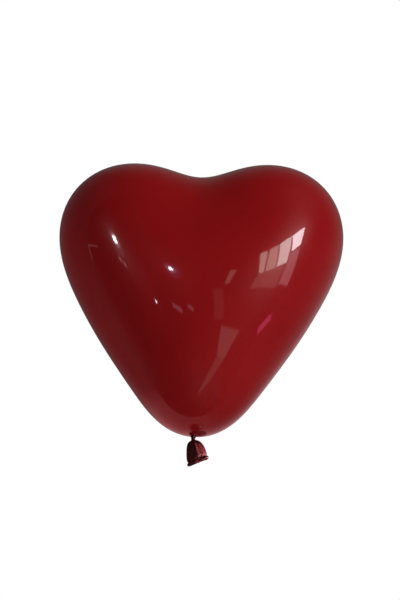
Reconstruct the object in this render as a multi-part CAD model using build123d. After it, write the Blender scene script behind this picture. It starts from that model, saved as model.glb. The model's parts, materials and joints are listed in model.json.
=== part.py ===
"""Heart-shaped latex party balloon, filled and tied off, with a knot and a tail that hang below it."""

from build123d import *
from math import cos, exp, log, pi, sin, sqrt
import os

# All sizes are in millimetres. +Z is up, X is the width, Y is the depth with the front towards -Y,
# and the origin is the tie point, where the neck leaves the lowest point of the heart.

# Heart: two round arms that run from a lobe centre down to a shared tip, and a round core between them
# that fills its middle, all blended together. Its middle plane is a little to the right of the neck.
heart_offset = 1.8
lobe_spacing = 66.2
lobe_radius = 80.4
lobe_squareness = 0.47
lobe_above_tip = 156.7
tip_radius = 33.7
arm_bulge = 9.0
arm_bulge_towards_tip = 0.557
arm_end_softness = 0.185
core_width = 121.8
core_depth = 126.3
core_height = 150.1
core_above_tip = 114.2
blend = 17.76
centre_z = 140.0
film = 0.45
rows = 56
columns = 80

# Thick end of the mould, around the neck.
tip_patch_radius = 8.2
tip_patch_offset = 4.2
tip_patch_thickness = 1.1
seat_gap = 0.03
neck_hole_radius = 2.7

# Knot below the tip.
throat_radius = 2.55
throat_inside = 1.6
core_radius = 1.5
wrap_radius_bottom = 1.55
wrap_thickness = 1.5
wrap_top = -1.0
wrap_bottom = -3.05
wrap_pitch = 1.6
wrap_flare = 17.0
waist_z = -5.2
waist_ball_radius = 1.6
ball_clearance = 0.12
socket_rim_above_waist = 1.3

# Tail below the knot: a flattened sleeve with pleats that ends in a rolled lip.
tail_lean = 12.4
tail_wall = 0.5
pleats = 9
pleat_depth = 0.045
lip_tilt = -10.5
lip_width = 18.4
lip_shift = 0.4
lip_gap_radius = 1.72
lip_thickness = 2.6
# Sleeve sections: distance below the waist, outside width, outside depth, shift to the left.
tail_sections = [(0.95, 5.4, 4.0, 0.2), (2.2, 9.4, 4.4, 0.3), (3.6, 11.6, 4.7, 0.1), (6.0, 14.1, 4.8, -0.1),
                 (9.0, 16.5, 4.8, -0.2), (13.0, 18.8, 4.8, -0.2), (17.0, 19.8, 4.8, -0.2), (21.2, 18.4, 4.5, -0.4)]
tail_length = tail_sections[-1][0]


def softStep(x):
    """log(1 + e^x), which turns smoothly from 0 to x."""
    return x if x > 30 else log(1 + exp(x))


def armDistance(x, y, z, side):
    """Distance from a point to the surface of one arm of the heart."""
    ax, az = side * lobe_spacing, tip_radius + lobe_above_tip
    dx, dz = -ax, -lobe_above_tip
    u = ((x - ax) * dx + (z - az) * dz) / (dx * dx + dz * dz)
    w = arm_end_softness
    u = w * (softStep(u / w) - softStep((u - 1) / w))
    bulge = arm_bulge * 4 * u * (1 - u) * (1 + arm_bulge_towards_tip * (2 * u - 1))
    across, up = x - ax - u * dx, z - az - u * dz
    far = across * across + y * y + up * up
    corner = (6 * across ** 2 * up ** 2 - across ** 4 - up ** 4) / far ** 2
    square = lobe_squareness * (1 - u) * corner
    return sqrt(far) - (lobe_radius + (tip_radius - lobe_radius) * u + bulge + square)


def coreDistance(x, y, z):
    """Distance from a point to the surface of the core, as measured towards the front."""
    up = z - tip_radius - core_above_tip
    share = sqrt((2 * x / core_width) ** 2 + (2 * y / core_depth) ** 2 + (2 * up / core_height) ** 2)
    return (share - 1) * core_depth / 2


def heartDistance(x, y, z):
    """Both arms and the core, blended where they meet."""
    parts = [armDistance(x, y, z, -1), armDistance(x, y, z, 1), coreDistance(x, y, z)]
    low = min(parts)
    return low - blend * log(sum(exp((low - part) / blend) for part in parts))


def reach(direction, inset):
    """Distance from the heart's middle to its skin in a direction, less an inset."""
    near, far = 5.0, 260.0
    for _ in range(40):
        middle = (near + far) / 2
        x, y, z = (middle * part for part in direction)
        if heartDistance(x, y, centre_z + z) < -inset:
            near = middle
        else:
            far = middle
    return near


pole_z = centre_z - reach((0, 0, -1), 0)


def heartSolid(inset):
    """Closed solid inside the heart's skin, at a given depth below it."""
    grid = []
    for column in range(columns + 1):
        turn = 2 * pi * (column % columns) / columns
        line = []
        for row in range(rows + 1):
            polar = pi * row / rows
            flat = sin(polar) if 0 < row < rows else 0.0
            way = (flat * cos(turn), flat * sin(turn), cos(polar))
            r = reach(way, inset)
            line.append((heart_offset + r * way[0], r * way[1], centre_z - pole_z + r * way[2]))
        grid.append(line)
    skin = Face.make_surface_from_array_of_points(grid, tol=0.02, min_deg=3, max_deg=5)
    return Solid(Shell([skin]))


def save(shape, name):
    shape.label = name
    export_step(shape, f"parts/{name}.step")


def heartEnvelope(outer, inner):
    """Hollow film with a hole at the bottom for the thick tip."""
    hole = Pos(tip_patch_offset, 0, 0) * Cylinder(tip_patch_radius, 12)
    return outer - inner - hole


def thickTip(outer):
    """Dished patch that fills the hole in the film and holds the neck."""
    patch = Pos(tip_patch_offset, 0, 0) * Cylinder(tip_patch_radius - seat_gap, 8)
    inside = Pos(heart_offset, 0, tip_radius + tip_patch_thickness) * Sphere(tip_radius)
    return (outer & patch) - inside - Cylinder(neck_hole_radius, 12)


def knotCore():
    """Neck of the balloon where it runs through the knot, with a socket for the waist below."""
    top, bottom = throat_inside, waist_z + socket_rim_above_waist
    outline = Polyline(
        (0, top), (throat_radius - 0.4, top), (throat_radius, top - 0.4), (throat_radius, -0.3),
        (core_radius, wrap_top), (core_radius, bottom + 0.5), (core_radius - 0.15, bottom), (0, bottom),
        (0, top),
    )
    body = revolve(Plane.XZ * make_face(outline), Axis.Z)
    return body - Pos(0, 0, waist_z) * Sphere(waist_ball_radius + ball_clearance)


def knotWrap():
    """Loop of the knot: one strand wound around the neck on a widening spiral."""
    path = Helix(wrap_pitch, wrap_top - wrap_bottom, wrap_radius_bottom, (0, 0, wrap_bottom),
                 cone_angle=wrap_flare)
    round_end = Sphere(wrap_thickness / 2)
    start = Plane(path @ 0, z_dir=path % 0)
    strand = sweep(start * Circle(wrap_thickness / 2), path=path, is_frenet=True)
    return strand + Pos(*(path @ 0)) * round_end + Pos(*(path @ 1)) * round_end


def neckWaist():
    """Ball of twisted film between the knot and the tail."""
    return Pos(0, 0, waist_z) * Sphere(waist_ball_radius)


def sleeveRing(down, width, depth, left, inset):
    """Closed curve around the sleeve, rippled by its pleats."""
    share = down / tail_length
    points = []
    for step in range(36):
        turn = 2 * pi * step / 36
        fold = 1 + pleat_depth * cos(pleats * turn + 0.8)
        x = (width / 2 * fold - inset) * cos(turn)
        y = (depth / 2 * fold - inset) * sin(turn)
        points.append((x - left, y, 0))
    return Pos(0, 0, -down) * Rot(0, lip_tilt * share, 0) * Face(Wire([Edge.make_spline(points, periodic=True)]))


def tailSkirt():
    """Flattened sleeve that flares from the waist to the mouth, with a socket for the waist ball."""
    outside = loft([sleeveRing(*section, 0) for section in tail_sections])
    hollow = loft([sleeveRing(*section, tail_wall) for section in tail_sections[2:]])
    mouth = Pos(0, 0, -tail_length) * Rot(0, lip_tilt, 0)
    ball = Sphere(waist_ball_radius + ball_clearance)
    sleeve = outside - ball - hollow
    return sleeve - mouth * Pos(0, 0, -3) * Box(40, 20, 6)


def rolledLip():
    """Bead around the mouth of the sleeve, pressed flat so its two sides almost touch."""
    r = lip_gap_radius
    half = lip_width / 2 - r
    path = Wire([
        Edge.make_line((0, -r, 0), (half, -r, 0)),
        Edge.make_three_point_arc((half, -r, 0), (half + r, 0, 0), (half, r, 0)),
        Edge.make_line((half, r, 0), (0, r, 0)),
    ])
    bead = sweep(Plane((0, -r, 0), z_dir=(1, 0, 0)) * Circle(lip_thickness / 2), path=path)
    bead += mirror(bead, Plane.YZ)
    return Pos(lip_shift, 0, -tail_length - 0.6) * Rot(0, lip_tilt, 0) * bead


def hangTail(shape):
    """Puts a tail piece below the waist, leaning to +X as it hangs."""
    return Pos(0, 0, waist_z) * Rot(0, -tail_lean, 0) * shape


os.makedirs("parts", exist_ok=True)
skin = heartSolid(0)
save(heartEnvelope(skin, heartSolid(film)), "heart_envelope")
save(thickTip(skin), "thick_tip")
save(knotCore(), "knot_core")
save(knotWrap(), "knot_wrap")
save(neckWaist(), "neck_waist")
save(hangTail(tailSkirt()), "tail_skirt")
save(hangTail(rolledLip()), "rolled_lip")
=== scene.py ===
import json
import bpy
import bmesh
import numpy as np
from math import cos, pi, radians, sin
from mathutils import Matrix, Vector

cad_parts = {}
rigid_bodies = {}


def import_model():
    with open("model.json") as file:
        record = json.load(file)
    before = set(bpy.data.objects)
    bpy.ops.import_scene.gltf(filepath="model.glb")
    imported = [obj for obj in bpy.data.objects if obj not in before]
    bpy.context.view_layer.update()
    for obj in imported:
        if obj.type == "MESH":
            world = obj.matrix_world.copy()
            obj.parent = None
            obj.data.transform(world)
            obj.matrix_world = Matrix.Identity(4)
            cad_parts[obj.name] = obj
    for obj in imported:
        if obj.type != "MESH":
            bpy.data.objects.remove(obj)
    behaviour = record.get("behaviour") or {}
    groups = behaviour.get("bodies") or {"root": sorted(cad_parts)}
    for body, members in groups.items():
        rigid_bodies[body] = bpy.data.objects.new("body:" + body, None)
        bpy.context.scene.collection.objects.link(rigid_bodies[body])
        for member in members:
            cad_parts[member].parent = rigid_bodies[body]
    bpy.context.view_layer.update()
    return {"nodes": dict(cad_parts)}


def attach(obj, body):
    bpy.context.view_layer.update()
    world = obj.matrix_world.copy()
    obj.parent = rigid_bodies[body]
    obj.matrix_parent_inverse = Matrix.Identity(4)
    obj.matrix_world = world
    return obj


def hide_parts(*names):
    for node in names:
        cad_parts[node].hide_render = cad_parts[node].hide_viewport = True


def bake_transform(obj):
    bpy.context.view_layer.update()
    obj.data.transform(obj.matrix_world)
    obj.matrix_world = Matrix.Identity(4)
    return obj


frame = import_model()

mm = 0.001


def meshObject(name, points, faces, body, replaced=(), normals=None):
    mesh = bpy.data.meshes.new(name)
    mesh.from_pydata([tuple(p) for p in np.asarray(points) * mm], [], [tuple(int(i) for i in f) for f in faces])
    mesh.validate()
    for polygon in mesh.polygons:
        polygon.use_smooth = True
    if normals is not None:
        mesh.normals_split_custom_set_from_vertices([tuple(n) for n in normals])
    piece = bpy.data.objects.new(name, mesh)
    bpy.context.scene.collection.objects.link(piece)
    if body:
        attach(piece, body)
    if replaced:
        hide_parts(*replaced)
    return piece


def ringFaces(rings, around, closedUp=False, flip=False):
    faces = []
    count = rings if closedUp else rings - 1
    for ring in range(count):
        low, high = ring * around, ((ring + 1) % rings) * around
        for step in range(around):
            after = (step + 1) % around
            face = (low + step, low + after, high + after, high + step)
            faces.append(face[::-1] if flip else face)
    return faces


def shellFaces(rings, around, flip=False):
    # two skins of rings, one inside the other, joined along their first and last rings
    outer = ringFaces(rings, around, flip=flip)
    size, last = rings * around, (rings - 1) * around
    edges = []
    for s in range(around):
        after = (s + 1) % around
        edges.append((after, s, size + s, size + after))
        edges.append((last + s, last + after, size + last + after, size + last + s))
    if flip:
        edges = [edge[:1] + edge[:0:-1] for edge in edges]
    return outer + [tuple(size + i for i in face[::-1]) for face in outer] + edges


def smoothRamp(value, start, end):
    share = np.clip((value - start) / (end - start), 0, 1)
    return share * share * (3 - 2 * share)


def storeMask(piece, name, values):
    layer = piece.data.attributes.new(name, "FLOAT", "POINT")
    layer.data.foreach_set("value", np.asarray(values, np.float32))


# the heart: a round arm from each lobe down to a shared tip, and a round core that fills the middle
heart = {
    "offset": 1.8,           # its middle plane is a little to the right of the neck
    "lobeSpacing": 66.2,
    "lobeRadius": 80.4,
    "lobeSquareness": 0.47,
    "lobeAboveTip": 156.7,
    "tipRadius": 33.7,
    "armBulge": 9.0,
    "bulgeTowardsTip": 0.557,
    "armEndSoftness": 0.185,
    "coreSize": (121.8, 126.3, 150.1),
    "coreAboveTip": 114.2,
    "blend": 17.76,
    "film": 0.45,
    "middleZ": 140.0,
    "around": 256,
    "rings": 190,
}


def heartDistance(points):
    arms = []
    top = heart["tipRadius"] + heart["lobeAboveTip"]
    soft = heart["armEndSoftness"]
    for side in (-1, 1):
        start = np.array([side * heart["lobeSpacing"], 0, top])
        along = np.array([-start[0], 0, -heart["lobeAboveTip"]])
        rel = points - start
        u = rel @ along / (along @ along)
        u = soft * (np.logaddexp(0, u / soft) - np.logaddexp(0, (u - 1) / soft))
        bulge = heart["armBulge"] * 4 * u * (1 - u) * (1 + heart["bulgeTowardsTip"] * (2 * u - 1))
        radius = heart["lobeRadius"] + (heart["tipRadius"] - heart["lobeRadius"]) * u + bulge
        out = rel - u[:, None] * along
        across, up, far = out[:, 0], out[:, 2], (out ** 2).sum(1)
        corner = (6 * across ** 2 * up ** 2 - across ** 4 - up ** 4) / far ** 2
        arms.append(np.sqrt(far) - radius - heart["lobeSquareness"] * (1 - u) * corner)
    half = np.array(heart["coreSize"]) / 2
    share = np.linalg.norm((points - [0, 0, heart["tipRadius"] + heart["coreAboveTip"]]) / half, axis=1)
    b = heart["blend"]
    both = np.logaddexp(-arms[0] / b, -arms[1] / b)
    return -b * np.logaddexp(both, (1 - share) * half[1] / b)


def heartReach(ways, inset=0.0):
    near, far = np.full(len(ways), 5.0), np.full(len(ways), 260.0)
    for _ in range(44):
        half = (near + far) / 2
        inside = heartDistance(ways * half[:, None] + [0, 0, heart["middleZ"]]) < -inset
        near, far = np.where(inside, half, near), np.where(inside, far, half)
    return near


poleDrop = heart["middleZ"] - heartReach(np.array([[0.0, 0.0, -1.0]]))[0]
middle = np.array([heart["offset"], 0, heart["middleZ"] - poleDrop])


def heartPoints(ways, inset=0.0):
    return ways * heartReach(ways, inset)[:, None] + middle


def heartNormals(points):
    shifted = points + [-heart["offset"], 0, poleDrop]
    slope = [heartDistance(shifted + step) - heartDistance(shifted - step) for step in np.eye(3) * 0.05]
    slope = np.stack(slope, 1)
    return slope / np.linalg.norm(slope, axis=1)[:, None]


turns = 2 * pi * np.arange(heart["around"]) / heart["around"]


def ringWays(polar, shift):
    p, t = np.meshgrid(polar, turns, indexing="ij")
    ways = np.stack([np.sin(p) * np.cos(t) + np.reshape(shift, (-1, 1)), np.sin(p) * np.sin(t), -np.cos(p)], -1)
    ways = ways.reshape(-1, 3)
    return ways / np.linalg.norm(ways, axis=1)[:, None]


tip = {
    "edgeRadius": 8.2,        # where the thick patch meets the film
    "stemRadius": 2.75,
    "stemEnd": -1.1,
    "puckers": 13,
    "puckerHeight": 0.22,
    "sag": 0.55,              # how far the patch is pulled down where it turns into the stem
    "wall": (0.45, 1.1),      # at its edge and at the stem
    "centre": 4.2,            # the thick patch is not centred on the neck
    "darkRadius": (8.4, 8.0),
}
tipPolar = tip["edgeRadius"] / middle[2]
tipShift = (tip["centre"] - heart["offset"]) / middle[2]


def darkness(points):
    far = np.hypot((points[:, 0] - tip["centre"]) / tip["darkRadius"][0], points[:, 1] / tip["darkRadius"][1])
    return np.where(points[:, 2] < 20, 1 - smoothRamp(far, 0.9, 1.12), 0)


def makeEnvelope():
    polar = tipPolar + (pi - tipPolar) * (np.arange(heart["rings"]) / heart["rings"])
    ways = ringWays(polar, tipShift * (1 - smoothRamp(polar, tipPolar, 0.9)))
    skins, normals = [], []
    for inset, facing in ((0.0, 1), (heart["film"], -1)):
        skin = heartPoints(ways, inset)
        crown = heartPoints(np.array([[0.0, 0.0, 1.0]]), inset)
        skins.append(np.vstack([skin, crown]))
        normals.append(facing * heartNormals(skins[-1]))
    around, rings = heart["around"], heart["rings"]
    size = rings * around + 1
    faces = ringFaces(rings, around)
    last = (rings - 1) * around
    faces += [(last + s, last + (s + 1) % around, size - 1) for s in range(around)]
    inner = [tuple(size + i for i in face[::-1]) for face in faces]
    rim = [(s, size + s, size + (s + 1) % around, (s + 1) % around) for s in range(around)]
    points = np.vstack(skins)
    piece = meshObject("heartEnvelope", points, faces + inner + rim, "heart", ["heart_envelope"],
                       np.vstack(normals))
    storeMask(piece, "thickLatex", darkness(points))
    print("envelope:", len(points), "points")


def makeThickTip():
    count = 36
    share = np.arange(count + 1) / count
    radius = tip["edgeRadius"] + (tip["stemRadius"] - tip["edgeRadius"]) * share
    shift = tipShift + (-heart["offset"] / middle[2] - tipShift) * share
    surface = heartPoints(ringWays(tipPolar * radius / tip["edgeRadius"], shift)).reshape(count + 1, -1, 3)
    normals = heartNormals(surface.reshape(-1, 3)).reshape(count + 1, -1, 3)
    drop = smoothRamp(share, 0.45, 1.0) ** 2 * tip["sag"]
    fold = np.cos(tip["puckers"] * turns + 1.3 * np.sin(2 * turns)) * (0.7 + 0.3 * np.sin(3 * turns + 1))
    rise = tip["puckerHeight"] * smoothRamp(share, 0.05, 0.85)
    points = surface + normals * (rise[:, None] * fold)[:, :, None]
    points[:, :, 2] -= drop[:, None]
    stem = []
    for step in range(1, 9):
        part = step / 8
        r = tip["stemRadius"] - 0.25 * part + 0.12 * fold
        z = points[-1, :, 2] + (tip["stemEnd"] - points[-1, :, 2]) * part
        stem.append(np.stack([r * np.cos(turns), r * np.sin(turns), z], 1))
    outer = np.vstack([points.reshape(-1, 3)] + stem)
    rings = count + 1 + len(stem)
    inner = (outer + [0, 0, 1.0]).reshape(rings, -1, 3)
    wall = tip["wall"][0] + (tip["wall"][1] - tip["wall"][0]) * share
    inner[:count + 1] = points + np.array([0, 0, 1]) * wall[:, None, None]
    inner[count + 1:, :, :2] *= 0.75
    allPoints = np.vstack([outer, inner.reshape(-1, 3)])
    faces = shellFaces(rings, heart["around"], flip=True)
    piece = meshObject("thickTip", allPoints, faces, None, ["thick_tip"])
    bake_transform(piece)
    print("thick tip: puckers", tip["puckers"])


makeEnvelope()
makeThickTip()


knot = {
    "coreTop": -0.5,
    "coreEnd": -3.95,
    "coreRadius": 1.6,
    "coreFolds": 7,
    "coreFoldDepth": 0.09,
    "coreTwist": 6.6,        # how far the folds turn on their way down, in radians
    "loopTurns": 1.6,
    "loopTop": -1.05,
    "loopEnd": -3.1,
    "loopRadiusTop": 2.2,
    "loopRadiusEnd": 1.6,
    "loopThickness": 1.6,
    "loopFolds": 5,
    "loopFoldDepth": 0.07,
    "loopStart": -0.75 * pi,
    "loopWave": 0.22,        # how far it rises and dips as it goes round
    "tuck": 0.1,             # the part of the loop's length, at each end, that goes in under it
    "tuckIn": 0.35,          # how much nearer the neck its ends are
    "tuckThin": 0.45,        # and how much thinner
}


def tubeAlong(path, radii, around, closedPath=False, folds=0, foldDepth=0.0, foldTurn=0.0):
    path = np.asarray(path, float)
    count = len(path)
    if closedPath:
        along = np.roll(path, -1, 0) - np.roll(path, 1, 0)
    else:
        along = np.gradient(path, axis=0)
    along /= np.linalg.norm(along, axis=1)[:, None]
    out = np.cross(along[0], [0, 0, 1.0])
    if np.linalg.norm(out) < 0.2:
        out = np.cross(along[0], [0, 1.0, 0])
    rings = []
    angle = 2 * pi * np.arange(around) / around
    for i in range(count):
        out = out - along[i] * (out @ along[i])
        out /= np.linalg.norm(out)
        side = np.cross(along[i], out)
        r = radii[i] * (1 + foldDepth * np.cos(folds * (angle + foldTurn * i / count)))
        rings.append(path[i] + np.outer(r * np.cos(angle), out) + np.outer(r * np.sin(angle), side))
    return np.vstack(rings)


def closeEnds(points, faces, rings, around):
    first, last = points[:around].mean(0), points[-around:].mean(0)
    count = len(points)
    points = np.vstack([points, first, last])
    low = (rings - 1) * around
    faces += [(count, (s + 1) % around, s) for s in range(around)]
    faces += [(count + 1, low + s, low + (s + 1) % around) for s in range(around)]
    return points, faces


def makeKnot():
    around, rings = 84, 44
    angle = 2 * pi * np.arange(around) / around
    share = np.linspace(0, 1, rings)
    z = knot["coreTop"] + (knot["coreEnd"] - knot["coreTop"]) * share
    waistIn = 1 + 0.28 * (1 - smoothRamp(share, 0, 0.3)) - 0.12 * np.sin(pi * np.clip(share * 1.3 - 0.2, 0, 1))
    twist = knot["coreFolds"] * angle[None, :] + knot["coreTwist"] * share[:, None]
    folds = 1 + knot["coreFoldDepth"] * np.cos(twist)
    r = knot["coreRadius"] * waistIn[:, None] * folds
    core = np.stack([r * np.cos(angle), r * np.sin(angle), np.repeat(z[:, None], around, 1)], -1).reshape(-1, 3)
    points, faces = closeEnds(core, ringFaces(rings, around, flip=True), rings, around)
    coreLow, coreHigh = len(points) - 1, len(points) - 2
    faces = [f if coreLow not in f and coreHigh not in f else f[::-1] for f in faces]
    meshObject("knotCore", points, faces, "knot", ["knot_core"])

    steps = 110
    share = np.linspace(0, 1, steps)
    turn = 2 * pi * knot["loopTurns"] * share + knot["loopStart"]
    reach = knot["loopRadiusTop"] + (knot["loopRadiusEnd"] - knot["loopRadiusTop"]) * share
    tucked = smoothRamp(share, 1 - knot["tuck"], 1.0) + 1 - smoothRamp(share, 0, knot["tuck"])
    reach = reach * (1 - knot["tuckIn"] * tucked)
    z = knot["loopTop"] + (knot["loopEnd"] - knot["loopTop"]) * share + knot["loopWave"] * np.sin(turn + 0.6)
    path = np.stack([reach * np.cos(turn), reach * np.sin(turn), z], 1)
    radii = knot["loopThickness"] / 2 * (1 - knot["tuckThin"] * tucked) * (1 + 0.05 * np.sin(9 * turn))
    sides = 40
    loop = tubeAlong(path, radii, sides, folds=knot["loopFolds"], foldDepth=knot["loopFoldDepth"], foldTurn=5.0)
    points, faces = closeEnds(loop, ringFaces(steps, sides), steps, sides)
    meshObject("knotWrap", points, faces, "knot", ["knot_wrap"])
    print("knot: loop turns", knot["loopTurns"])


waist = {
    "z": -5.2,
    "ballRadius": 1.6,
    "ballFoldDepth": 0.03,
    "filmRadius": 1.78,
    "folds": 8,
    "foldDepth": 0.075,
    "filmReach": 1.7,       # how far the film runs up and down from the ball
    "filmWall": 0.1,        # as a share of its radius
}


def makeWaist():
    around, rings = 64, 33
    polar = pi * (np.arange(rings) + 0.5) / rings
    angle = 2 * pi * np.arange(around) / around
    r = waist["ballRadius"] * (1 + waist["ballFoldDepth"] * np.cos(waist["folds"] * angle))
    ball = np.stack([
        np.sin(polar)[:, None] * r * np.cos(angle),
        np.sin(polar)[:, None] * r * np.sin(angle),
        waist["z"] - np.repeat(np.cos(polar)[:, None], around, 1) * waist["ballRadius"],
    ], -1).reshape(-1, 3)
    points, faces = closeEnds(ball, ringFaces(rings, around), rings, around)
    meshObject("waistBall", points, faces, "waist", ["neck_waist"])

    for name, low, high, bodies in (
        ("waistFilmTop", 0.0, 1.0, ("knot", "waist")),
        ("waistFilmBottom", -1.0, 0.0, ("tail", "waist")),
    ):
        rings = 22
        share = np.linspace(low, high, rings)
        z = waist["z"] + share * waist["filmReach"]
        shape = waist["filmRadius"] * (1 - 0.07 * np.cos(pi * share)) + 0.05
        folds = 1 + waist["foldDepth"] * np.cos(waist["folds"] * angle[None, :] + 1.6 * share[:, None])
        r = shape[:, None] * folds
        film = np.stack([r * np.cos(angle), r * np.sin(angle), np.repeat(z[:, None], around, 1)], -1)
        inner = film.copy()
        inner[:, :, :2] *= 1 - waist["filmWall"]
        points = np.vstack([film.reshape(-1, 3), inner.reshape(-1, 3)])
        faces = shellFaces(rings, around)
        piece = meshObject(name, points, faces, None)
        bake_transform(piece)
    print("waist: ball and film")


tail = {
    "lean": 12.4,
    "length": 21.2,
    "wall": 0.45,
    "down": [0.95, 1.5, 2.2, 3.6, 6.0, 9.0, 13.0, 17.0, 19.0, 21.2],
    "width": [5.0, 7.2, 9.3, 11.6, 14.1, 16.5, 18.8, 19.9, 19.5, 18.2],
    "depth": [3.6, 3.9, 4.4, 5.2, 6.0, 6.3, 6.1, 5.4, 4.7, 4.3],
    "left": [0.2, 0.25, 0.3, 0.1, -0.1, -0.2, -0.2, -0.2, -0.2, -0.4],
    "lipTilt": 10.5,
    "smoothing": 6,          # passes over the outline that those points make
    "around": 300,
    "rings": 120,
    # folds down the front and the back, in mm: place across, width, height outwards
    "frontFolds": [(0.9, 0.8, 0.15), (3.9, 0.9, -0.16), (6.2, 1.2, 0.1), (-4.4, 2.2, -0.45), (-7.4, 1.0, 0.25)],
    "ridge": (0.9, 1.8),     # where the front is creased down its middle, and how far the crease stands out
    "backFolds": [(-1.5, 1.6, 0.6), (2.6, 1.0, -0.8), (-5.0, 1.0, -0.6), (5.8, 1.5, 0.35)],
    "gathers": 17,
    "gatherDepth": 0.16,
}
lip = {
    "width": 18.4,
    "shift": 0.4,
    "gapRadius": 1.72,
    "thickness": 2.6,
    "endBulge": 0.28,
    "drop": 0.6,
    "waveSide": 0.22,        # how far the bead wavers from a straight line, front to back and up and down
    "waveUp": 0.18,
    "steps": 260,
    "around": 40,
}


def hangTail(points):
    a = radians(-tail["lean"])
    turned = np.stack([points[:, 0] * cos(a) + points[:, 2] * sin(a), points[:, 1],
                       -points[:, 0] * sin(a) + points[:, 2] * cos(a)], 1)
    return turned + [0, 0, waist["z"]]


def tiltAcross(points, share):
    a = np.radians(tail["lipTilt"] * share)
    x, z = points[:, 0].copy(), points[:, 2].copy()
    z = z + x * np.sin(a)
    return np.stack([x * np.cos(a), points[:, 1], z], 1)


def makeSleeve():
    rings, around = tail["rings"], tail["around"]
    down = np.interp(np.linspace(0, 1, rings) ** 1.25, [0, 1], [tail["down"][0], tail["length"] + 0.35])
    angle = 2 * pi * np.arange(around) / around
    width, depth, left = (np.interp(down, tail["down"], tail[key]) for key in ("width", "depth", "left"))
    for values in (width, depth, left):
        for _ in range(tail["smoothing"]):
            values[1:-1] = (values[:-2] + 2 * values[1:-1] + values[2:]) / 4
    skins = []
    for inset in (0.0, tail["wall"]):
        points = []
        for i in range(rings):
            share = i / (rings - 1)
            power = 0.85 - 0.2 * smoothRamp(share, 0.5, 1.0)
            c, s = np.cos(angle), np.sin(angle)
            x = (width[i] / 2 - inset) * np.sign(c) * np.abs(c) ** power
            y = -(depth[i] / 2 - inset) * np.sign(s) * np.abs(s) ** 0.9
            spread = width[i] / 20.0
            reachDown = smoothRamp(down[i], 1.4, 5.5) * (1 - 0.8 * smoothRamp(down[i], 17.0, 21.2))
            for folds, front in ((tail["frontFolds"], 1), (tail["backFolds"], -1)):
                side = np.clip(s * front, 0, 1) ** 0.6
                if front > 0:
                    away = np.abs(x - tail["ridge"][0] * spread) / (width[i] / 2)
                    y -= tail["ridge"][1] * np.clip(1 - away, 0, 1) * side * reachDown
                for place, wide, high in folds:
                    bump = np.exp(-((x - place * spread) / (wide * spread + 0.05)) ** 2)
                    y -= front * high * bump * side * reachDown * (0.75 + 0.25 * spread)
            gather = tail["gatherDepth"] * (1 - smoothRamp(down[i], 4.0, 15.0)) * smoothRamp(down[i], 0.9, 2.2)
            ripple = 1 + gather * np.cos(tail["gathers"] * angle + 1.4 * np.sin(3 * angle)) * 0.5
            points.append(np.stack([x * ripple - left[i], y * ripple, np.full(around, -down[i])], 1))
        points = np.vstack(points)
        share = np.repeat(down / tail["length"], around)
        skins.append(hangTail(tiltAcross(points, share)))
    faces = shellFaces(rings, around)
    meshObject("tailSleeve", np.vstack(skins), faces, "tail", ["tail_skirt"])
    print("tail: sleeve with", len(tail["frontFolds"]) + len(tail["backFolds"]), "folds")


def makeLip():
    r = lip["gapRadius"]
    half = lip["width"] / 2 - r
    straight, bend = 2 * half, pi * r
    total = 2 * (straight + bend)
    points, swell = [], []
    for step in range(lip["steps"]):
        at = total * step / lip["steps"]
        if at < straight:
            x, y = -half + at, -r
        elif at < straight + bend:
            a = (at - straight) / r - pi / 2
            x, y = half + r * cos(a), r * sin(a)
        elif at < 2 * straight + bend:
            x, y = half - (at - straight - bend), r
        else:
            a = (at - 2 * straight - bend) / r + pi / 2
            x, y = -half + r * cos(a), r * sin(a)
        inside = 1 - smoothRamp(abs(x), half * 0.8, half)
        y += inside * (lip["waveSide"] * sin(0.55 * x + 1) + (0.12 * sin(1.7 * x) if y > 0 else 0))
        z = lip["waveUp"] * sin(0.42 * x + 0.7) * inside + (0.12 * sin(0.9 * x + 2) if y < 0 else 0)
        points.append((x, y, z))
        near = smoothRamp(abs(x), half * 0.72, half + r)
        uneven = 0.96 + 0.03 * sin(2.3 * x)
        swell.append(lip["thickness"] / 2 * (uneven + lip["endBulge"] * near * (1 - 0.35 * near)))
    bead = tubeAlong(points, swell, lip["around"], closedPath=True, folds=1, foldDepth=0.05, foldTurn=0)
    bead = tiltAcross(bead, np.ones(len(bead)) * (tail["length"] + lip["drop"]) / tail["length"])
    bead = hangTail(bead + [lip["shift"], 0, -tail["length"] - lip["drop"]])
    faces = ringFaces(lip["steps"], lip["around"], closedUp=True)
    meshObject("rolledLip", bead, faces, "tail", ["rolled_lip"])
    print("lip: bead", lip["thickness"], "mm thick")


makeKnot()
makeWaist()
makeSleeve()
makeLip()


filmLook = {
    "red": (0.30, 0.0042, 0.0055),
    "redDeep": (0.235, 0.0030, 0.0042),
    "thickRed": (0.17, 0.0036, 0.0048),
    "roughness": 0.30,
    "roughnessSpread": 0.05,
    "cloudSize": 14.0,
    "grainSize": 900.0,
    "bump": 0.02,
    "gloss": 1.50,
    "specular": 0.14,
    "coat": 0.85,
    "coatRoughness": 0.045,
}
thickLook = {
    "red": (0.046, 0.0034, 0.0046),
    "redDeep": (0.020, 0.0015, 0.0021),
    "roughness": 0.42,
    "roughnessSpread": 0.10,
    "cloudSize": 160.0,
    "grainSize": 2600.0,
    "bump": 0.12,
    "gloss": 1.50,
    "specular": 0.11,
    "coat": 0.0,
    "coatRoughness": 0.2,
}
tipLook = dict(thickLook, red=(0.17, 0.0036, 0.0050), redDeep=(0.12, 0.0026, 0.0036), bump=0.05, specular=0.08)
grainHeight = 0.0002   # in metres


class Nodes:

    def __init__(self, owner):
        owner.use_nodes = True
        self.tree = owner.node_tree
        self.tree.nodes.clear()

    def add(self, kind, inputs=None, **settings):
        node = self.tree.nodes.new(kind)
        for key, value in settings.items():
            setattr(node, key, value)
        for key, value in (inputs or {}).items():
            if isinstance(value, bpy.types.NodeSocket):
                self.tree.links.new(value, node.inputs[key])
            else:
                node.inputs[key].default_value = value
        return node


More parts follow.
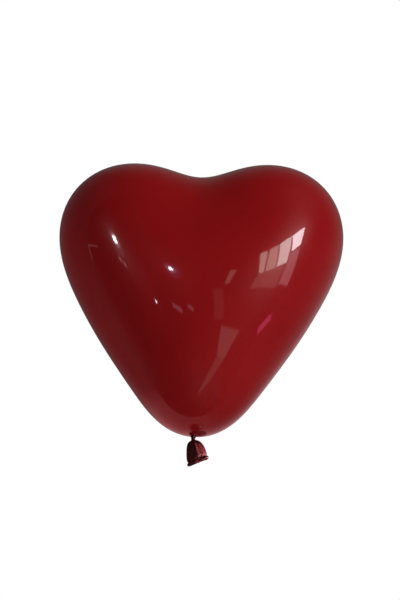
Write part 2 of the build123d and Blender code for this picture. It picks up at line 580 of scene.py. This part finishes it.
def latex(name, look, thick=None):
    material = bpy.data.materials.new(name)
    n = Nodes(material)
    place = n.add("ShaderNodeTexCoord").outputs["Object"]
    cloud = n.add("ShaderNodeTexNoise", {
        "Vector": place, "Scale": look["cloudSize"], "Detail": 4.0, "Roughness": 0.55,
    }).outputs["Fac"]
    colour = n.add("ShaderNodeMix", {
        0: cloud, 6: (*look["redDeep"], 1), 7: (*look["red"], 1),
    }, data_type="RGBA").outputs[2]
    if thick:
        mask = n.add("ShaderNodeAttribute", attribute_name="thickLatex").outputs["Fac"]
        colour = n.add("ShaderNodeMix", {0: mask, 6: colour, 7: (*thick, 1)}, data_type="RGBA").outputs[2]
    smear = n.add("ShaderNodeTexNoise", {
        "Vector": place, "Scale": look["cloudSize"] * 2.3, "Detail": 6.0, "Roughness": 0.6, "Distortion": 0.8,
    }).outputs["Fac"]
    rough = n.add("ShaderNodeMapRange", {
        "Value": smear, "From Min": 0.3, "From Max": 0.7,
        "To Min": look["roughness"] - look["roughnessSpread"] / 2,
        "To Max": look["roughness"] + look["roughnessSpread"],
    }).outputs["Result"]
    grain = n.add("ShaderNodeTexNoise", {
        "Vector": place, "Scale": look["grainSize"], "Detail": 3.0,
    }).outputs["Fac"]
    bump = n.add("ShaderNodeBump", {
        "Height": grain, "Strength": look["bump"], "Distance": grainHeight,
    }).outputs["Normal"]
    shader = n.add("ShaderNodeBsdfPrincipled", {
        "Base Color": colour, "Roughness": rough, "Normal": bump,
        "IOR": look["gloss"], "Specular IOR Level": look["specular"],
        "Coat Weight": look["coat"], "Coat Roughness": look["coatRoughness"],
    })
    n.add("ShaderNodeOutputMaterial", {"Surface": shader.outputs[0]})
    return material


stretchedLatex = latex("stretchedLatex", filmLook, filmLook["thickRed"])
thickLatex = latex("thickLatex", thickLook)
tipLatex = latex("tipLatex", tipLook)
for piece in bpy.context.scene.objects:
    if piece.type != "MESH":
        continue
    if piece.name == "heartEnvelope":
        piece.data.materials.append(stretchedLatex)
    elif piece.name == "thickTip":
        piece.data.materials.append(tipLatex)
    elif piece.name in ("knotCore", "knotWrap", "waistBall", "waistFilmTop", "waistFilmBottom", "tailSleeve",
                        "rolledLip"):
        piece.data.materials.append(thickLatex)
for node, piece in frame["nodes"].items():
    for index in range(max(1, len(piece.material_slots))):
        if not piece.material_slots:
            piece.data.materials.append(None)
        piece.material_slots[index].material = stretchedLatex if node == "heart_envelope" else thickLatex
print("materials: stretched film and thick latex")


stageLook = {
    "floorZ": -0.95,
    "floorSize": 12.0,
    "floorTone": (0.80, 0.84),
    # What the gloss reflects. A ramp says where a glow comes in, from -1 (facing away from its direction)
    # to 1 (facing straight along it).
    "behind": (0.0, 0.9135, 0.4067),     # straight through the heart, as the camera looks
    "edgeWay": (0.148, 0.903, 0.402),    # the backdrop ends at an edge to the left, below and to the right
    "edge": (-0.335, -0.285),
    "belowWay": (0.342, 0.382, -0.859),
    "belowWayRamp": (0.05, 0.35),
    "belowRamp": (-0.1, 0.9),
    "belowGlow": (0.20, 0.20),           # how bright the backdrop is at that edge, and straight behind
    "belowRightRamp": (0.1, 0.7),
    "belowRightShare": 0.25,
    "belowColour": (2.8, 0.95, 1.05),
    "aboveRamp": (0.1, 1.05),
    "aboveGlow": (0.02, 0.13),
    "aboveLeftRamp": (0.1, 0.45),
    "aboveLeftShare": 0.25,
    "aboveUpRamp": (-0.8, -0.2),
    "leftRamp": (0.2, 0.5),
    "leftGlow": 0.035,
    "rimRamp": (0.93, 0.99),
    "rimGlow": 0.05,
    "frontGlow": 0.004,
    "allRound": 0.13,                    # even light on the matt colour, from every side
}


def makeStage():
    mesh = bpy.data.meshes.new("floor")
    half = stageLook["floorSize"] / 2
    form = bmesh.new()
    corners = ((-half, -half), (half, -half), (half, half), (-half, half))
    form.faces.new([form.verts.new((x, y, stageLook["floorZ"])) for x, y in corners])
    form.to_mesh(mesh)
    form.free()
    floor = bpy.data.objects.new("floor", mesh)
    bpy.context.scene.collection.objects.link(floor)
    material = bpy.data.materials.new("paleFloor")
    n = Nodes(material)
    shade = n.add("ShaderNodeTexNoise", {"Scale": 3.0, "Detail": 2.0}).outputs["Fac"]
    low, high = stageLook["floorTone"]
    tone = n.add("ShaderNodeMapRange", {"Value": shade, "To Min": low, "To Max": high}).outputs["Result"]
    matt = n.add("ShaderNodeBsdfPrincipled", {"Base Color": tone, "Roughness": 0.9}).outputs[0]
    pale = n.add("ShaderNodeEmission", {"Color": tone}).outputs[0]
    seen = n.add("ShaderNodeLightPath").outputs["Is Camera Ray"]
    below = n.add("ShaderNodeNewGeometry").outputs["Backfacing"]   # a view from under the floor is not blocked
    clear = n.add("ShaderNodeBsdfTransparent").outputs[0]
    shader = n.add("ShaderNodeMixShader", {0: seen, 1: matt, 2: pale}).outputs[0]
    shader = n.add("ShaderNodeMixShader", {0: below, 1: shader, 2: clear}).outputs[0]
    n.add("ShaderNodeOutputMaterial", {"Surface": shader})
    mesh.materials.append(material)
    floor.visible_glossy = False


def makeWorld():
    world = bpy.data.worlds.new("studio")
    bpy.context.scene.world = world
    n = Nodes(world)
    way = n.add("ShaderNodeTexCoord").outputs["Generated"]

    def fade(direction, ramp, low, high):
        part = n.add("ShaderNodeVectorMath", {0: way, 1: direction}, operation="DOT_PRODUCT").outputs["Value"]
        return n.add("ShaderNodeMapRange", {
            "Value": part, "From Min": ramp[0], "From Max": ramp[1], "To Min": low, "To Max": high,
        }, interpolation_type="SMOOTHSTEP").outputs["Result"]

    def join(how, first, *others):
        for other in others:
            first = n.add("ShaderNodeMath", {0: first, 1: other}, operation=how).outputs[0]
        return first

    look = stageLook
    behind, right, left, up = look["behind"], (1.0, 0.0, 0.0), (-1.0, 0.0, 0.0), (0.0, 0.0, 1.0)
    above = join("MULTIPLY", fade(behind, look["aboveRamp"], *look["aboveGlow"]),
                 fade(left, look["aboveLeftRamp"], 1.0, look["aboveLeftShare"]),
                 fade(up, look["aboveUpRamp"], 0.0, 1.0))
    edge = fade(look["edgeWay"], look["edge"], 0.0, 1.0)
    below = join("MULTIPLY", fade(behind, look["belowRamp"], *look["belowGlow"]),
                 fade(look["belowWay"], look["belowWayRamp"], 0.0, 1.0),
                 fade(right, look["belowRightRamp"], 1.0, look["belowRightShare"]))
    warm = join("MULTIPLY", join("ADD", below, fade(left, look["leftRamp"], 0.0, look["leftGlow"])), edge)
    pale = join("ADD", above, fade(behind, look["rimRamp"], 0.0, look["rimGlow"]), look["frontGlow"])
    red, green, blue = (join("ADD", join("MULTIPLY", warm, part), pale) for part in look["belowColour"])
    colour = n.add("ShaderNodeCombineColor", {0: red, 1: green, 2: blue}).outputs[0]
    path = n.add("ShaderNodeLightPath")
    even = look["allRound"]
    soft = n.add("ShaderNodeMixShader", {
        0: path.outputs["Is Diffuse Ray"],
        1: n.add("ShaderNodeBackground", {"Color": colour, "Strength": 1.0}).outputs[0],
        2: n.add("ShaderNodeBackground", {"Color": (even, even, even, 1), "Strength": 1.0}).outputs[0],
    }).outputs[0]
    white = n.add("ShaderNodeBackground", {"Color": (1, 1, 1, 1), "Strength": 1.0}).outputs[0]
    both = n.add("ShaderNodeMixShader", {0: path.outputs["Is Camera Ray"], 1: soft, 2: white}).outputs[0]
    n.add("ShaderNodeOutputWorld", {"Surface": both})


def areaLight(name, place, aim, size, watts, colour=(1, 1, 1), glossy=True, diffuse=True):
    data = bpy.data.lights.new(name, "AREA")
    data.shape = "RECTANGLE"
    data.size, data.size_y = size
    data.energy = watts
    data.color = colour
    lamp = bpy.data.objects.new(name, data)
    bpy.context.scene.collection.objects.link(lamp)
    way = Vector(aim) - Vector(place)
    lamp.matrix_world = Matrix.Translation(place) @ way.to_track_quat("-Z", "Y").to_matrix().to_4x4()
    lamp.visible_camera = False
    lamp.visible_glossy = glossy
    lamp.visible_diffuse = diffuse
    return lamp


def makeCamera():
    look = {"azimuth": 2.214, "elevation": -24.02, "roll": 1.733, "distance": 1.6976,
            "aim": (0.0025, -0.0002, 0.1381), "lens": 157.32}
    data = bpy.data.cameras.new("camera")
    data.sensor_fit = "HORIZONTAL"
    data.sensor_width = 36.0
    data.lens = look["lens"]
    data.clip_start, data.clip_end = 0.05, 60.0
    camera = bpy.data.objects.new("camera", data)
    bpy.context.scene.collection.objects.link(camera)
    a, e = radians(look["azimuth"]), radians(look["elevation"])
    back = Vector((sin(a) * cos(e), -cos(a) * cos(e), sin(e)))
    right = Vector((0, 0, 1)).cross(back).normalized()
    up = back.cross(right)
    r = radians(look["roll"])
    across, upward = right * cos(r) + up * sin(r), up * cos(r) - right * sin(r)
    turn = Matrix((across, upward, back)).transposed().to_4x4()
    camera.matrix_world = Matrix.Translation(Vector(look["aim"]) + back * look["distance"]) @ turn
    bpy.context.scene.camera = camera


makeStage()
makeWorld()
middlePoint = (0, 0, 0.14)
for name, place, size, watts in (
    ("keySoft", (1.9, -1.6, 0.8), (1.2, 1.2), 38),
    ("topSoft", (1.5, -0.7, 1.7), (1.4, 1.4), 13),
    ("lowSoft", (0.3, -0.7, -0.88), (1.2, 0.8), 3.4),
    ("leftSoft", (-1.9, 0.2, -0.6), (1.4, 1.4), 9),
):
    areaLight(name, place, middlePoint, size, watts, glossy=False)


def tailBeam():
    # a narrow beam from close by on the right, which reaches the tail alone
    lamp = areaLight("tailBeam", (0.118, -0.018, -0.045), (0.006, 0, -0.0168), (0.016, 0.016), 0.0095)
    lamp.data.shape = "DISK"
    lamp.data.spread = radians(12)


tailBeam()


sheetDistance, lampDistance = 2.2, 2.5


def wayTo(azimuth, elevation, distance=sheetDistance):
    # a place around the heart, in degrees from straight in front of it
    a, e = radians(azimuth), radians(elevation)
    return Vector(middlePoint) + distance * Vector((sin(a) * cos(e), -cos(a) * cos(e), sin(e)))


def glowSheet(name, rows, glow, colour):
    # a bright sheet that shows only as a reflection: rows of corners, the same number in each
    mesh = bpy.data.meshes.new(name)
    points = [wayTo(*corner) for row in rows for corner in row]
    across = len(rows[0])
    faces = [(r * across + c, r * across + c + 1, (r + 1) * across + c + 1, (r + 1) * across + c)
             for r in range(len(rows) - 1) for c in range(across - 1)]
    mesh.from_pydata(points, [], faces)
    sheet = bpy.data.objects.new(name, mesh)
    bpy.context.scene.collection.objects.link(sheet)
    material = bpy.data.materials.new(name + "Glow")
    n = Nodes(material)
    shine = n.add("ShaderNodeEmission", {"Color": (*colour, 1), "Strength": glow}).outputs[0]
    n.add("ShaderNodeOutputMaterial", {"Surface": shine})
    mesh.materials.append(material)
    sheet.visible_camera = sheet.visible_diffuse = sheet.visible_shadow = False


# the window: four tall panes between bars, seen at a slant, each with its top and bottom corners
window = {
    "tops": ((24, 10.5), (30, 9), (37, 8.5), (47, 10), (60, 15)),
    "bottoms": ((31.5, 1.8), (36.5, 0.5), (45, -0.5), (54, -1), (61, 4.5)),
    "bar": 0.9,
    "glows": (5.5, 5.0, 9.5, 17.0),
    "colours": ((1.0, 0.80, 0.74), (1.0, 0.76, 0.68), (1.0, 0.92, 0.90), (1.0, 0.92, 0.99)),
}


def makeWindow():
    bar = window["bar"] / 2
    for i in range(4):
        (x0, y0), (x1, y1) = window["tops"][i:i + 2]
        (u0, v0), (u1, v1) = window["bottoms"][i:i + 2]
        low = (53, 2.5) if i == 3 else (u0, v0)   # the last pane is shorter, with a dim strip below it
        rows = [[(x0 + bar, y0), (x1 - bar, y1)], [(low[0] + bar, low[1]), (u1 - bar, v1)]]
        glowSheet("pane%d" % (i + 1), rows, window["glows"][i], window["colours"][i])
    glowSheet("paneStrip", [[(53.5, 1.5), (61, 3.5)], [(57, -7), (69, -8.5)]], 2.6, (1.0, 0.55, 0.62))
    glowSheet("paneSill", [[(32, 1.2), (54, -2)], [(31, -3), (56, -8)]], 1.0, (1.0, 0.60, 0.55))


def spot(name, azimuth, elevation, across, glow, colour=(1, 1, 1)):
    # a round lamp: its width is in degrees too, and its power follows from its glow and its size
    size = 2 * lampDistance * sin(radians(across / 2))
    watts = glow * pi * pi / 4 * size * size
    lamp = areaLight(name, wayTo(azimuth, elevation, lampDistance), middlePoint, (size, size), watts, colour,
                     diffuse=False)
    lamp.data.shape = "DISK"


makeWindow()
for lamp in (
    ("lampLeft", -42.0, 9.8, 3.0, 55.0, (1.0, 0.97, 1.0)),
    ("lampLeftGlow", -42.0, 9.8, 6.0, 2.0, (1.0, 0.80, 0.88)),
    ("lampLeftHalo", -42.5, 9.4, 10.0, 0.5, (1.0, 0.60, 0.70)),
    ("lampFront", -12.6, 12.1, 1.7, 45.0, (1.0, 0.90, 1.0)),
    ("lampFrontGlow", -12.4, 11.8, 4.0, 1.3, (0.95, 0.60, 0.95)),
    ("lampFrontHalo", -12.0, 11.4, 7.5, 0.30, (0.9, 0.50, 0.95)),
    ("lampLow", -29.3, -5.9, 1.3, 28.0, (1.0, 0.75, 0.95)),
    ("lanternLeft", -45.0, 2.8, 1.6, 3.5, (1.0, 0.5, 0.5)),
    ("lanternRight", -42.5, 2.2, 1.6, 3.0, (1.0, 0.5, 0.5)),
):
    spot(*lamp)
glowSheet("softLeft", [[(-17.5, -3.6), (-11.5, -4.7)], [(-17.2, -5.4), (-11.3, -6.4)]], 1.3, (1.0, 0.60, 0.80))
glowSheet("softRight", [[(-7.3, -2.6), (-3.6, -3.8)], [(-7.0, -4.2), (-3.3, -5.4)]], 1.2, (1.0, 0.60, 0.75))
glowSheet("hangingTop", [[(-78, 4.8), (-65, 3.9)], [(-77, 3.9), (-66, 3.2)]], 0.9, (1.0, 0.62, 0.66))
glowSheet("hangingSide", [[(-78, 4.8), (-76.5, 4.6)], [(-80, -0.8), (-79, -0.9)]], 0.9, (1.0, 0.62, 0.66))
glowSheet("shelf", [[(12, 10.5), (15.5, 9.0)], [(12, 4.0), (14.5, 3.6)]], 1.5, (1.0, 0.70, 0.62))
glowSheet("blossom", [[(68, -15), (73, -16.5)], [(62, -18.5), (67, -20)]], 4.0, (1.0, 0.12, 0.32))
glowSheet("streakTop", [[(6, 3), (11, 2.5)], [(12, -9), (20, -10.5)]], 0.35, (1.0, 0.66, 0.62))
glowSheet("streakMiddle", [[(20, -12), (41, -17)], [(27, -22), (38, -23.5)]], 0.85, (1.0, 0.80, 0.78))
glowSheet("streakLow", [[(27, -22), (38, -23.5)], [(21, -30), (33, -29)], [(8, -49), (12, -50)],
                        [(13, -57), (14, -58)]], 0.55, (1.0, 0.75, 0.74))
makeCamera()
bpy.context.scene.view_settings.view_transform = "Standard"
print("stage, lights and camera set")
